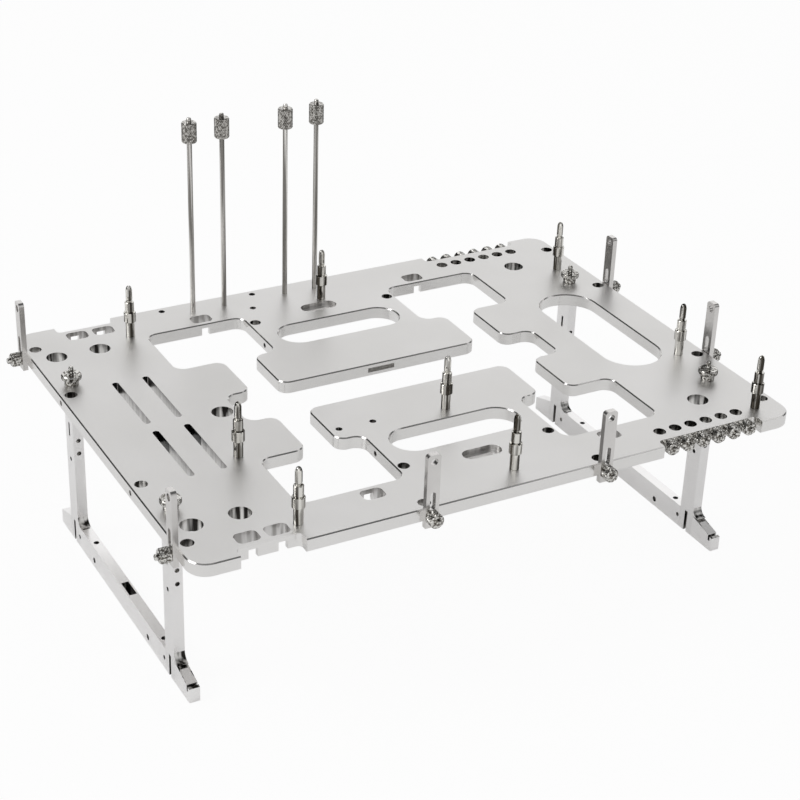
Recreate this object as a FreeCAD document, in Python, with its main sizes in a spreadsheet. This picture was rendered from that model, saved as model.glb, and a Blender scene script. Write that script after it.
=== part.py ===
import FreeCAD, Part
import math
import os
import sys

# Open air test bench for a desktop board: a machined tray with an H-shaped window and two paddles,
# two leg frames, nine snap standoffs, six side posts, four card rods and twelve spare
# thumb screws parked in the front and back edges. +Z is up, +X to the right and +Y to the back.
# The origin lies on the floor, under the middle of the overall box.

os.makedirs("parts", exist_ok=True)
doc = FreeCAD.newDocument("OpenTestBench")
V = FreeCAD.Vector

SIZES = {
    # board standoffs: the hole pattern of a standard board, and the tray left around it
    "board_column_2": 124.46,
    "board_column_3": 281.94,
    "board_row_2": 154.94,
    "board_row_3": 227.33,
    "board_step": 22.86,
    "margin_left": 62.0,
    "margin_right": 16.06,
    "margin_back": 27.47,
    "margin_front": 15.2,
    # tray
    "tray_thick": 7.5,
    "tray_height": 102.0,
    "tray_corner": 11.0,
    "edge_break": 0.6,
    "cut_over": 2.0,
    # H-shaped window: the bars left around it, and the two paddles inside it
    "side_bar": 70.0,
    "end_bar": 31.5,
    "lobe_reach": 28.0,
    "lobe_half": 55.5,
    "channel_bar_left": 82.0,
    "channel_bar_right": 79.0,
    "channel_half": 16.0,
    "neck_half": 49.0,
    "paddle_half": 63.5,
    "paddle_shoulder": 1.0,
    "window_corner": 6.5,
    # oblong openings
    "neck_slot_length": 78.0,
    "neck_slot_width": 25.0,
    "neck_slot_from_window": 33.5,
    "short_slot_length": 23.0,
    "short_slot_width": 10.0,
    "short_slot_inset": 2.8,
    "short_slot_floor": 3.0,
    "short_slot_from_window": 5.5,
    "paddle_slot_length": 17.0,
    "paddle_slot_height": 2.8,
    "paddle_slot_depth": 6.0,
    "side_slot_length": 101.5,
    "side_slot_width": 36.5,
    "side_slot_inset": 40.25,
    "thin_slot_length": 51.5,
    "thin_slot_width": 3.8,
    "thin_slot_y": 30.25,
    "thin_slot_inset_out": 32.5,
    "thin_slot_inset_in": 50.5,
    # round holes in the tray
    "pass_bore": 12.0,
    "pass_inset": 40.0,
    "pass_inset_left": 14.0,
    "pass_inset_middle": 73.5,
    "pass_inset_end": 36.0,
    "neck_hole_bore": 6.5,
    "neck_hole_x": 44.5,
    "neck_hole_from_window": 10.5,
    "side_hole_bore": 3.0,
    "side_hole_depth": 7.0,
    "small_bore": 3.8,
    "small_inset_back": 5.0,
    "small_back_left_x": 89.5,
    "small_back_middle_x": 30.0,
    "small_neck_x": 37.5,
    "small_neck_inset": 23.0,
    "small_paddle_out_x": 57.5,
    "small_paddle_in_x": 37.0,
    "small_paddle_y": 44.0,
    # cable tie openings with their grooves underneath
    "tie_length": 12.5,
    "tie_width": 9.5,
    "tie_corner": 3.0,
    "tie_groove": 5.0,
    "tie_bridge": 2.6,
    "tie_from_window_x": 38.0,
    "tie_from_window_y": 7.5,
    "tie_left_inset": 42.0,
    "tie_left_pitch": 16.0,
    "tie_left_inset_end": 14.5,
    "tie_recess_length": 35.0,
    "tie_recess_depth": 7.0,
    "recess_corner": 2.5,
    # turned steps of a standoff
    "stud_thread": 3.0,
    "stud_base_diameter": 5.2,
    "stud_base_length": 9.5,
    "stud_collar_diameter": 7.0,
    "stud_collar_length": 6.0,
    "stud_neck_diameter": 5.4,
    "stud_neck_length": 6.5,
    "stud_groove_diameter": 3.2,
    "stud_groove_length": 1.0,
    "stud_tip_diameter": 3.8,
    "stud_tip_length": 7.5,
    "stud_nose_length": 1.8,
    # leg frames
    "leg_inset_left": 10.7,
    "leg_inset_right": 19.7,
    "leg_inset_back": 70.5,
    "leg_pitch": 145.0,
    "leg_thick": 6.0,
    "post_depth": 12.0,
    "rail_height": 13.5,
    "toe_front": 19.5,
    "toe_back": 16.5,
    "toe_end_height": 8.5,
    "foot_slit": 2.6,
    "foot_gap": 0.05,
    "rail_pocket_length": 13.0,
    "rail_pocket_width": 4.2,
    "rail_pocket_depth": 8.0,
    "rail_pocket_shift": 6.25,
    "foot_pocket_length": 6.0,
    "foot_pocket_depth": 4.3,
    "rail_top_bore": 3.2,
    "rail_top_bore_depth": 9.0,
    "rail_top_bore_from_front": 15.2,
    "rail_top_bore_from_back": 27.9,
    "rail_side_bore": 3.4,
    "rail_side_from_post": 31.5,
    "post_dot_bore": 2.6,
    "post_dot_depth": 4.0,
    "post_dot_drop": 33.3,
    "post_dot_pitch": 8.2,
    "post_slot_drop": 23.7,
    "post_slot_length": 8.6,
    "post_slot_width": 1.8,
    "post_slot_depth": 1.5,
    "post_pin_drop": 47.3,
    "post_heel": 5.0,
    "foot_pin_reach": 8.0,
    "foot_pin_level": 6.8,
    "foot_pin_depth": 2.0,
    "toe_groove": 1.6,
    "toe_groove_depth": 2.5,
    "toe_groove_from_end": 2.5,
    # thumb screws for the legs
    "screw_thread": 3.0,
    "thread_gap": 0.05,
    "leg_screw_collar": 8.0,
    "leg_screw_collar_length": 3.4,
    "leg_screw_disc": 11.5,
    "leg_screw_disc_length": 3.0,
    "leg_screw_tip": 3.0,
    "leg_screw_tip_length": 4.8,
    "leg_screw_grip": 8.0,
    "leg_bore_spare": 1.0,
    # thumb screws for the side posts, and the same ones parked as spares
    "knob_diameter": 8.3,
    "knob_length": 6.0,
    "knob_nub": 3.4,
    "knob_nub_length": 2.0,
    "knob_thread_length": 8.5,
    "spare_inset": 29.5,
    "spare_pitch": 10.3,
    "spare_margin": 7.0,
    "spare_recess": 6.5,
    "relief_bore": 7.0,
    # side posts
    "bar_width": 7.5,
    "bar_thick": 3.0,
    "bar_above": 32.0,
    "bar_below": 10.0,
    "bar_eye": 4.0,
    "bar_eye_drop": 4.0,
    "bar_corner": 2.0,
    "bar_slot_width": 3.2,
    "bar_slot_length": 10.5,
    "bar_inset_end": 22.0,
    "bar_right_y": 52.5,
    "bar_front_x": 52.5,
    "bar_relief_inset": 6.0,
    # card rods and their nuts
    "rod_diameter": 3.0,
    "rod_above": 122.5,
    "rod_inset": 12.0,
    "rod_from_board": 46.0,
    "rod_slot_pitch": 20.32,
    "rod_pair_pitch": 60.96,
    "nut_diameter": 9.0,
    "nut_length": 12.0,
    "nut_below_tip": 2.6,
}

SPARES_PER_SIDE = 6

sheet = doc.addObject("Spreadsheet::Sheet", "Sizes")
for row, (alias, value) in enumerate(SIZES.items(), start=1):
    sheet.set("A%d" % row, alias)
    sheet.set("B%d" % row, str(value))
    sheet.setAlias("B%d" % row, alias)
doc.recompute()


def cell(alias):
    return float(sheet.get(alias))


def named(text):
    """Turn words such as tray_thick into references to the sheet's cells."""
    out = []
    for word in text.replace("(", "( ").replace(")", " )").split():
        out.append("Sizes." + word if word in SIZES else word)
    return " ".join(out)


# The tray reaches a set margin past the board's holes on each side.
TRAY_LENGTH = "(margin_left + board_column_3 + margin_right)"
TRAY_DEPTH = "(margin_front + board_row_3 + margin_back)"
HALF_X = "(%s / 2)" % TRAY_LENGTH
HALF_Y = "(%s / 2)" % TRAY_DEPTH
WINDOW_X = "(%s - side_bar)" % HALF_X
WINDOW_Y = "(%s - end_bar)" % HALF_Y
LOBE_X = "(%s - lobe_reach)" % WINDOW_X

# Middle of the tray in Y: the screws reach further out in front than behind.
FRONT_REACH = "(bar_thick + knob_length + knob_nub_length)"
BACK_REACH = "(knob_length + knob_nub_length - spare_recess)"
TRAY_Y = "(%s - %s) / 2" % (FRONT_REACH, BACK_REACH)
TRAY_TOP = "tray_height"
TRAY_UNDER = "(tray_height - tray_thick)"
EDGE_MID = "(tray_height - tray_thick / 2)"
THROUGH = "(tray_thick + 2 * cut_over)"
BELOW_TRAY = "(0 - cut_over)"

# Turns that carry a piece built along +Z to lie along another axis.
UP = FreeCAD.Rotation()
ALONG_X = FreeCAD.Rotation(V(0, 1, 0), 90)
ALONG_MINUS_X = FreeCAD.Rotation(V(0, 1, 0), -90)
ALONG_MINUS_Y = FreeCAD.Rotation(V(1, 0, 0), 90)
ALONG_Y = FreeCAD.Rotation(V(1, 0, 0), -90)

serial = 0


def label(kind):
    global serial
    serial += 1
    return "%s_%03d" % (kind, serial)


def place(item, x, y, z, turn=UP):
    item.Placement = FreeCAD.Placement(V(0, 0, 0), turn)
    item.setExpression("Placement.Base.x", named(x))
    item.setExpression("Placement.Base.y", named(y))
    item.setExpression("Placement.Base.z", named(z))
    return item


def block(length, width, height, x, y, z):
    """A box centred on x and y, standing on z."""
    item = doc.addObject("Part::Box", label("Block"))
    item.setExpression("Length", named(length))
    item.setExpression("Width", named(width))
    item.setExpression("Height", named(height))
    return place(item, "(%s) - (%s) / 2" % (x, length), "(%s) - (%s) / 2" % (y, width), z)


def drum(diameter, height, x, y, z, turn=UP):
    item = doc.addObject("Part::Cylinder", label("Drum"))
    item.setExpression("Radius", named("(%s) / 2" % diameter))
    item.setExpression("Height", named(height))
    return place(item, x, y, z, turn)


def taper(low, high, height, z):
    item = doc.addObject("Part::Cone", label("Taper"))
    item.setExpression("Radius1", named("(%s) / 2" % low))
    item.setExpression("Radius2", named("(%s) / 2" % high))
    item.setExpression("Height", named(height))
    return place(item, "0", "0", z)


def joined(items, name=None):
    item = doc.addObject("Part::MultiFuse", name or label("Joined"))
    item.Shapes = items
    item.Refine = True
    return item


def cut(base, tools, name=None):
    item = doc.addObject("Part::Cut", name or label("Cut"))
    item.Base = base
    item.Tool = tools[0] if len(tools) == 1 else joined(tools)
    item.Refine = True
    return item


def upright_edges(shape):
    """Numbers of the straight edges that run along Z."""
    found = []
    for number, edge in enumerate(shape.Edges, start=1):
        straight = isinstance(edge.Curve, Part.Line)
        if straight and abs(abs(edge.tangentAt(edge.FirstParameter).z) - 1) < 1e-6:
            found.append(number)
    return found


def rounded(item, radius):
    """Round every edge of a prism that runs along Z."""
    doc.recompute()
    result = doc.addObject("Part::Fillet", label("Rounded"))
    result.Base = item
    result.Edges = [(number, radius, radius) for number in upright_edges(item.Shape)]
    return result


def broken_rims(item, levels, size, name):
    """Break the sharp rims of a plate that lie at the given heights."""
    doc.recompute()
    rims = []
    for number, edge in enumerate(item.Shape.Edges, start=1):
        box = edge.BoundBox
        if any(abs(box.ZMin - z) < 1e-6 and abs(box.ZMax - z) < 1e-6 for z in levels):
            rims.append((number, size, size))
    result = doc.addObject("Part::Chamfer", name)
    result.Base = item
    result.Edges = rims
    return result


def oblong(length, width, height, x, y, z, along="x"):
    """A slot with round ends, given by its full length and width."""
    flat = "((%s) - (%s))" % (length, width)
    if along == "x":
        ends = [("(%s) - %s / 2" % (x, flat), y), ("(%s) + %s / 2" % (x, flat), y)]
        middle = block(flat, width, height, x, y, z)
    else:
        ends = [(x, "(%s) - %s / 2" % (y, flat)), (x, "(%s) + %s / 2" % (y, flat))]
        middle = block(width, flat, height, x, y, z)
    return joined([middle] + [drum(width, height, ex, ey, z) for ex, ey in ends])


def turned(steps):
    """Cylinders stacked along +Z, given as diameter and length; the first one hangs below zero."""
    below, above = steps[0], steps[1:]
    stack = [drum(below[0], below[1], "0", "0", "0 - (%s)" % below[1])]
    level = "0"
    for diameter, length in above:
        stack.append(drum(diameter, length, "0", "0", level))
        level = "%s + %s" % (level, length)
    return stack, level


parts = []


def keep(item, name):
    item.Label = name
    parts.append((name, item))
    return item


# Tray. It is built about its own middle with its underside at zero, and lifted at the end.
SIDES = (-1, 1)
THREAD_BORE = "(screw_thread + 2 * thread_gap)"


def signed(side, text):
    return "%d * (%s)" % (side, text)


def tray_outline():
    slab = block(TRAY_LENGTH, TRAY_DEPTH, "tray_thick", "0", "0", "0")
    return rounded(slab, cell("tray_corner"))


def window_blank():
    """The window is four corner bays, four channels beside the paddles and one channel across."""
    bays = []
    for sx in SIDES:
        for sy in SIDES:
            bays.append(block("%s - neck_half" % WINDOW_X, "%s - lobe_half" % WINDOW_Y, THROUGH,
                              signed(sx, "(%s + neck_half) / 2" % WINDOW_X),
                              signed(sy, "(%s + lobe_half) / 2" % WINDOW_Y), BELOW_TRAY))
            bays.append(block("%s - paddle_half" % LOBE_X, "lobe_half + window_corner", THROUGH,
                              signed(sx, "(%s + paddle_half) / 2" % LOBE_X),
                              signed(sy, "(lobe_half + window_corner) / 2"), BELOW_TRAY))
            bays.append(block("paddle_half - neck_half", "paddle_shoulder + cut_over", THROUGH,
                              signed(sx, "(paddle_half + neck_half) / 2"),
                              signed(sy, "lobe_half + (cut_over - paddle_shoulder) / 2"), BELOW_TRAY))
    left = "(%s - channel_bar_left)" % HALF_X
    right = "(%s - channel_bar_right)" % HALF_X
    bays.append(block("%s + %s" % (left, right), "2 * channel_half", THROUGH,
                      "(%s - %s) / 2" % (right, left), "0", BELOW_TRAY))
    return rounded(joined(bays), cell("window_corner"))


def wide_slots():
    """The oblongs that carry a broken edge: one in each paddle's neck and a large one on the right."""
    slots = [oblong("side_slot_length", "side_slot_width", THROUGH,
                    "%s - side_slot_inset" % HALF_X, "0", BELOW_TRAY, "y")]
    for sy in SIDES:
        slots.append(oblong("neck_slot_length", "neck_slot_width", THROUGH, "0",
                            signed(sy, "(%s - neck_slot_from_window)" % WINDOW_Y), BELOW_TRAY))
    return slots


def narrow_slots():
    slots = []
    for sy in SIDES:
        y = signed(sy, "(%s - short_slot_from_window)" % WINDOW_Y)
        slots.append(oblong("short_slot_length", "short_slot_width", "tray_thick",
                            "0", y, "tray_thick - short_slot_floor"))
        slots.append(oblong("short_slot_length - 2 * short_slot_inset",
                            "short_slot_width - 2 * short_slot_inset", THROUGH, "0", y, BELOW_TRAY))
        for inset in ("thin_slot_inset_out", "thin_slot_inset_in"):
            slots.append(oblong("thin_slot_length", "thin_slot_width", THROUGH,
                                "%s - %s" % (inset, HALF_X), signed(sy, "thin_slot_y"), BELOW_TRAY, "y"))
    slots.append(block("paddle_slot_length", "paddle_slot_depth + cut_over", "paddle_slot_height",
                       "0", "channel_half + (paddle_slot_depth - cut_over) / 2",
                       "(tray_thick - paddle_slot_height) / 2"))
    return slots


def tray_round_holes():
    holes = []
    for sy in SIDES:
        y = signed(sy, "(%s - pass_inset_end)" % HALF_Y)
        for x in ("%s - pass_inset" % HALF_X, "pass_inset - %s" % HALF_X, "pass_inset_left - %s" % HALF_X):
            holes.append(drum("pass_bore", THROUGH, x, y, BELOW_TRAY))
        for sx in SIDES:
            holes.append(drum("neck_hole_bore", THROUGH, signed(sx, "neck_hole_x"),
                              signed(sy, "(%s - neck_hole_from_window)" % WINDOW_Y), BELOW_TRAY))
    holes.append(drum("pass_bore", THROUGH, "pass_inset_middle - %s" % HALF_X, "0", BELOW_TRAY))
    return holes


def tray_small_holes():
    places = [
        ("0 - small_back_left_x", "%s - small_inset_back" % HALF_Y),
        ("0 - small_back_middle_x", "%s - small_inset_back" % HALF_Y),
        ("0 - small_neck_x", "%s - small_neck_inset" % HALF_Y),
        ("0 - small_paddle_out_x", "0 - small_paddle_y"),
        ("0 - small_paddle_in_x", "0 - small_paddle_y"),
    ]
    return [drum("small_bore", THROUGH, x, y, BELOW_TRAY) for x, y in places]


def neck_side_holes():
    """A blind hole in the left wall of each paddle's neck."""
    holes = []
    for sy in SIDES:
        holes.append(drum("side_hole_bore", "side_hole_depth + cut_over", "0 - neck_half - cut_over",
                          signed(sy, "(%s - neck_slot_from_window)" % WINDOW_Y), "tray_thick / 2",
                          ALONG_X))
    return holes


TIE_REST = "(tray_thick - tie_bridge + cut_over)"


def tie_openings():
    """Openings for cable ties; a groove underneath leaves a thin bridge that a tie goes round."""
    tools = []
    for sy in SIDES:
        for sx in SIDES:
            x = signed(sx, "(%s - tie_from_window_x)" % WINDOW_X)
            middle = signed(sy, "(%s + tie_from_window_y)" % WINDOW_Y)
            blank = block("tie_length", "tie_width", THROUGH, x, middle, BELOW_TRAY)
            groove = block("tie_groove", "tie_from_window_y + cut_over", TIE_REST, x,
                           signed(sy, "(%s + (tie_from_window_y - cut_over) / 2)" % WINDOW_Y), BELOW_TRAY)
            tools += [rounded(blank, cell("tie_corner")), groove]
        for step in SIDES:
            x = "tie_left_inset - %s + %d * tie_left_pitch / 2" % (HALF_X, step)
            middle = signed(sy, "(%s - tie_left_inset_end)" % HALF_Y)
            blank = block("tie_length", "tie_width", THROUGH, x, middle, BELOW_TRAY)
            groove = block("tie_groove", "tie_left_inset_end", TIE_REST, x,
                           signed(sy, "(%s - tie_left_inset_end / 2)" % HALF_Y), BELOW_TRAY)
            tools += [rounded(blank, cell("tie_corner")), groove]
    return tools


SPARE_SPAN = "(%d * spare_pitch + 2 * spare_margin)" % (SPARES_PER_SIDE - 1)
SPARE_MIDDLE = "(%s - spare_inset - %d * spare_pitch / 2)" % (HALF_X, SPARES_PER_SIDE - 1)
SPARE_RELIEF = "(spare_recess + knob_thread_length)"


def edge_recess(length, depth, x, side):
    """A shallow bay in the front or back edge, with round inner corners."""
    blank = block(length, "(%s) + cut_over + recess_corner" % depth, THROUGH, x,
                  signed(side, "(%s + (cut_over + recess_corner - %s) / 2)" % (HALF_Y, depth)),
                  BELOW_TRAY)
    return rounded(blank, cell("recess_corner"))


def spare_x(index):
    steps = SPARES_PER_SIDE - 1 - index
    return "(%s - spare_inset - %d * spare_pitch)" % (HALF_X, steps)


def spare_holes():
    """Each parked screw sits in an edge hole that ends in an upright relief hole."""
    tools = []
    for side, turn in ((-1, ALONG_MINUS_Y), (1, ALONG_Y)):
        tools.append(edge_recess(SPARE_SPAN, "spare_recess", SPARE_MIDDLE, side))
        tools.append(edge_recess("tie_recess_length", "tie_recess_depth",
                                 "tie_left_inset - %s" % HALF_X, side))
        for index in range(SPARES_PER_SIDE):
            y = signed(side, "(%s - %s)" % (HALF_Y, SPARE_RELIEF))
            tools.append(drum("relief_bore", THROUGH, spare_x(index), y, BELOW_TRAY))
            tools.append(drum(THREAD_BORE, SPARE_RELIEF, spare_x(index), y, "tray_thick / 2", turn))
    return tools


BAR_END_Y = "(%s - bar_inset_end)" % HALF_Y
FRONT_RELIEF = "(knob_thread_length - bar_thick)"


def bar_places():
    """Name, edge point in X and Y on the tray, outward direction and turn of each side post."""
    left = "0 - " + HALF_X
    front = "0 - " + HALF_Y
    return [
        ("left_rear", left, BAR_END_Y, (-1, 0), ALONG_MINUS_X),
        ("left_front", left, "0 - " + BAR_END_Y, (-1, 0), ALONG_MINUS_X),
        ("front_left", "0 - bar_front_x", front, (0, -1), ALONG_MINUS_Y),
        ("front_right", "bar_front_x", front, (0, -1), ALONG_MINUS_Y),
        ("right_front", HALF_X, "0 - bar_right_y", (1, 0), ALONG_X),
        ("right_rear", HALF_X, "bar_right_y", (1, 0), ALONG_X),
    ]


def bar_holes():
    """The same edge hole and relief at every place where a post can stand."""
    spots = []
    for sx, turn in ((-1, ALONG_MINUS_X), (1, ALONG_X)):
        for y in (BAR_END_Y, "0 - " + BAR_END_Y, "bar_right_y", "0 - bar_right_y"):
            spots.append((signed(sx, "(%s - bar_relief_inset)" % HALF_X), y, "bar_relief_inset", turn))
    for sx in SIDES:
        spots.append((signed(sx, "bar_front_x"), "%s - %s" % (FRONT_RELIEF, HALF_Y),
                      FRONT_RELIEF, ALONG_MINUS_Y))
    tools = []
    for x, y, inset, turn in spots:
        tools.append(drum("relief_bore", THROUGH, x, y, BELOW_TRAY))
        tools.append(drum(THREAD_BORE, inset + " + cut_over", x, y, "tray_thick / 2", turn))
    return tools


STUD_BORE = "(stud_thread + 2 * thread_gap)"
ROD_BORE = "(rod_diameter + 2 * thread_gap)"
ROD_Y = "(%s - rod_inset)" % HALF_Y
BOARD_LEFT = "(margin_left - %s)" % HALF_X
BOARD_BACK = "(%s - margin_back)" % HALF_Y


def board_places():
    column_2 = BOARD_LEFT + " + board_column_2"
    column_3 = BOARD_LEFT + " + board_column_3"
    row_2 = BOARD_BACK + " - board_row_2"
    row_3 = BOARD_BACK + " - board_row_3"
    return [
        ("left_rear", BOARD_LEFT, BOARD_BACK),
        ("left_middle", BOARD_LEFT, row_2),
        ("left_front", BOARD_LEFT, row_3),
        ("centre_rear", column_2, BOARD_BACK),
        ("centre_middle", column_2, row_2),
        ("centre_front", column_2, row_3),
        ("right_rear", column_3, BOARD_BACK + " - board_step"),
        ("right_middle", column_3, row_2),
        ("right_front", column_3, row_3),
    ]


def rod_places():
    places = []
    for pair in (0, 1):
        for slot in (0, 1):
            x = "%s + rod_from_board + %d * rod_pair_pitch + %d * rod_slot_pitch" % (BOARD_LEFT, pair, slot)
            places.append(("%d" % (2 * pair + slot + 1), x))
    return places


LEG_SIDES = (("left", "leg_inset_left - %s" % HALF_X), ("right", "%s - leg_inset_right" % HALF_X))
LEG_MIDDLE = "(%s - leg_inset_back - leg_pitch / 2)" % HALF_Y


def leg_places():
    places = []
    for side, x in LEG_SIDES:
        for end, sy in (("rear", 1), ("front", -1)):
            places.append((side, end, x, "%s + %d * leg_pitch / 2" % (LEG_MIDDLE, sy)))
    return places


def fixing_holes():
    holes = [drum(STUD_BORE, THROUGH, x, y, BELOW_TRAY) for _, x, y in board_places()]
    holes += [drum(ROD_BORE, THROUGH, x, ROD_Y, BELOW_TRAY) for _, x in rod_places()]
    holes += [drum(THREAD_BORE, THROUGH, x, y, BELOW_TRAY) for _, _, x, y in leg_places()]
    return holes


# The broad openings get a broken edge first; the holes are bored through it afterwards.
tray_frame = cut(tray_outline(), [window_blank()] + wide_slots())
tray_edged = broken_rims(tray_frame, (0.0, cell("tray_thick")), cell("edge_break"), "Edged")
tray_tools = narrow_slots() + tray_round_holes() + tray_small_holes() + neck_side_holes()
tray_tools += tie_openings() + spare_holes() + bar_holes() + fixing_holes()
tray = cut(tray_edged, tray_tools, "Tray")
keep(place(tray, "0", TRAY_Y, TRAY_UNDER), "tray_plate")


# Leg frames. A rail with a sloping toe at each end; the posts lap into its outer face, and each one
# is held under the tray by a thumb screw from above. The frame is as thick as one sheet.
LAP = "(leg_thick / 2)"
POST_SIDE = "((leg_pitch + post_depth) / 2)"
FACING_BACK = FreeCAD.Rotation()
FACING_FRONT = FreeCAD.Rotation(V(0, 0, 1), 180)


def toe(reach, side, turn):
    """The toe falls from the rail's height at the post to a low end."""
    item = doc.addObject("Part::Wedge", label("Toe"))
    item.Ymin = 0
    item.Zmin = 0
    item.Z2min = 0
    for low, high in (("Xmin", "Xmax"), ("X2min", "X2max")):
        item.setExpression(low, named("0 - leg_thick / 2"))
        item.setExpression(high, named("leg_thick / 2"))
    item.setExpression("Ymax", named(reach))
    item.setExpression("Zmax", named("rail_height"))
    item.setExpression("Z2max", named("toe_end_height"))
    return place(item, "0", signed(side, POST_SIDE), "0", turn)


def rail_solid():
    """The rail about the middle between its two posts."""
    run = block("leg_thick", "2 * %s" % POST_SIDE, "rail_height", "0", "0", "0")
    ends = [toe("toe_front", -1, FACING_FRONT), toe("toe_back", 1, FACING_BACK)]
    tools = []
    for side in SIDES:
        post = signed(side, "leg_pitch / 2")
        tools.append(block("%s + cut_over" % LAP, "post_depth + 2 * foot_gap",
                           "rail_height + 2 * cut_over", "0 - (%s + cut_over) / 2" % LAP,
                           post, "0 - cut_over"))
        tools.append(block("rail_pocket_width", "foot_pocket_length", "rail_height", "0",
                           "%s - post_depth / 2 - foot_pocket_length / 2" % post,
                           "rail_height - foot_pocket_depth"))
        tools.append(drum("post_dot_bore", "foot_pin_depth + cut_over",
                          "0 - leg_thick / 2 - cut_over",
                          signed(side, "(leg_pitch / 2 - foot_pin_reach)"), "foot_pin_level", ALONG_X))
        tools.append(drum("rail_side_bore", "leg_thick + 2 * cut_over", "0 - leg_thick / 2 - cut_over",
                          signed(side, "(leg_pitch / 2 - rail_side_from_post)"), "rail_height / 3",
                          ALONG_X))
    for y in ("rail_top_bore_from_front - leg_pitch / 2", "leg_pitch / 2 - rail_top_bore_from_back"):
        tools.append(drum("rail_top_bore", "rail_top_bore_depth + cut_over", "0", y,
                          "rail_height - rail_top_bore_depth"))
    tools.append(block("rail_pocket_width", "rail_pocket_length", "rail_height", "0",
                       "0 - rail_pocket_shift", "rail_height - rail_pocket_depth"))
    tools.append(block("leg_thick + 2 * cut_over", "toe_groove", "rail_height", "0",
                       "0 - %s - toe_front + toe_groove_from_end" % POST_SIDE,
                       "toe_end_height - toe_groove_depth"))
    return cut(joined([run] + ends), tools)


def heel():
    """A small concave heel in front of the post, where it meets the rail."""
    size = "post_heel"
    corner = block("leg_thick", size, size, "0", "0 - post_depth / 2 - %s / 2" % size, "rail_height")
    hollow = drum("2 * %s" % size, "leg_thick + 2 * cut_over", "0 - leg_thick / 2 - cut_over",
                  "0 - post_depth / 2 - %s" % size, "rail_height + %s" % size, ALONG_X)
    return cut(corner, [hollow])


def post_solid():
    """A leg post about its own foot: the lower end is halved and slit, the top takes the screw."""
    body = block("leg_thick", "post_depth", "%s - rail_height" % TRAY_UNDER, "0", "0", "rail_height")
    foot = block(LAP, "post_depth", "rail_height", "0 - %s / 2" % LAP, "0", "0")
    tools = [
        block("leg_thick + 2 * cut_over", "foot_slit", "rail_height + cut_over",
              "0 - leg_thick / 2 - cut_over", "0", "0 - cut_over"),
        drum(THREAD_BORE, "leg_screw_grip + leg_bore_spare + cut_over", "0", "0",
             "%s - leg_screw_grip - leg_bore_spare" % TRAY_UNDER),
        block("2 * post_slot_depth", "post_slot_width", "post_slot_length",
              "0 - leg_thick / 2", "0", "tray_height - post_slot_drop - post_slot_length"),
        drum("post_dot_bore", "foot_pin_depth + cut_over", "0 - leg_thick / 2 - cut_over", "0",
             "tray_height - post_pin_drop", ALONG_X),
    ]
    for step in range(2):
        tools.append(drum("post_dot_bore", "post_dot_depth + cut_over", "0",
                          "0 - post_depth / 2 - cut_over",
                          "tray_height - post_dot_drop - %d * post_dot_pitch" % step, ALONG_Y))
    return cut(joined([body, foot, heel()]), tools)


def thumb_screw_for_leg():
    stack, _ = turned([
        ("screw_thread", "tray_thick + leg_screw_grip"),
        ("leg_screw_collar", "leg_screw_collar_length"),
        ("leg_screw_disc", "leg_screw_disc_length"),
        ("leg_screw_tip", "leg_screw_tip_length"),
    ])
    return joined(stack)


for side, rail_x in LEG_SIDES:
    keep(place(rail_solid(), rail_x, "%s + %s" % (TRAY_Y, LEG_MIDDLE), "0"), side + "_foot_rail")
for side, end, x, y in leg_places():
    post_y = "%s + %s" % (TRAY_Y, y)
    keep(place(post_solid(), x, post_y, "0"), "%s_%s_leg_post" % (side, end))
    keep(place(thumb_screw_for_leg(), x, post_y, TRAY_TOP), "%s_%s_leg_screw" % (side, end))


# Board standoffs: a threaded root, a plain base, a wider collar and a snap tip.
def standoff():
    stack, top = turned([
        ("stud_thread", "tray_thick"),
        ("stud_base_diameter", "stud_base_length"),
        ("stud_collar_diameter", "stud_collar_length"),
        ("stud_neck_diameter", "stud_neck_length"),
        ("stud_groove_diameter", "stud_groove_length"),
        ("stud_tip_diameter", "stud_tip_length"),
    ])
    nose = taper("stud_tip_diameter", "stud_tip_diameter / 2", "stud_nose_length", top)
    return joined(stack + [nose])


for name, x, y in board_places():
    keep(place(standoff(), x, "%s + %s" % (TRAY_Y, y), TRAY_TOP), "standoff_" + name)


# Side posts: a flat bar with an eye at its top and a slot at its foot, clamped to the tray's edge.
def thumb_screw_for_bar():
    stack, _ = turned([
        ("screw_thread", "knob_thread_length"),
        ("knob_diameter", "knob_length"),
        ("knob_nub", "knob_nub_length"),
    ])
    return joined(stack)


def side_bar():
    """Built flat against the plane X = 0, thick towards +X, with Z measured from the edge's middle."""
    over = "bar_thick + 2 * cut_over"
    top = "(bar_above + tray_thick / 2)"
    foot = "(tray_thick / 2 - bar_below)"
    shoulder = "(%s - bar_corner)" % top
    tall = block("bar_thick", "bar_width - 2 * bar_corner", "%s - %s" % (top, foot),
                 "bar_thick / 2", "0", foot)
    wide = block("bar_thick", "bar_width", "%s - %s" % (shoulder, foot), "bar_thick / 2", "0", foot)
    corners = [drum("2 * bar_corner", "bar_thick", "0",
                    signed(side, "bar_width / 2 - bar_corner"), shoulder, ALONG_X)
               for side in SIDES]
    half_run = "((bar_slot_length - bar_slot_width) / 2)"
    slot_middle = "((tray_thick + bar_slot_length) / 2)"
    tools = [
        drum("bar_eye", over, "0 - cut_over", "0", "%s - bar_eye_drop" % top, ALONG_X),
        drum(THREAD_BORE, over, "0 - cut_over", "0", "0", ALONG_X),
        drum("bar_slot_width", over, "0 - cut_over", "0", "%s - %s" % (slot_middle, half_run), ALONG_X),
        drum("bar_slot_width", over, "0 - cut_over", "0", "%s + %s" % (slot_middle, half_run), ALONG_X),
        block(over, "bar_slot_width", "2 * %s" % half_run, "bar_thick / 2", "0",
              "%s - %s" % (slot_middle, half_run)),
    ]
    return cut(joined([tall, wide] + corners), tools)


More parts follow.
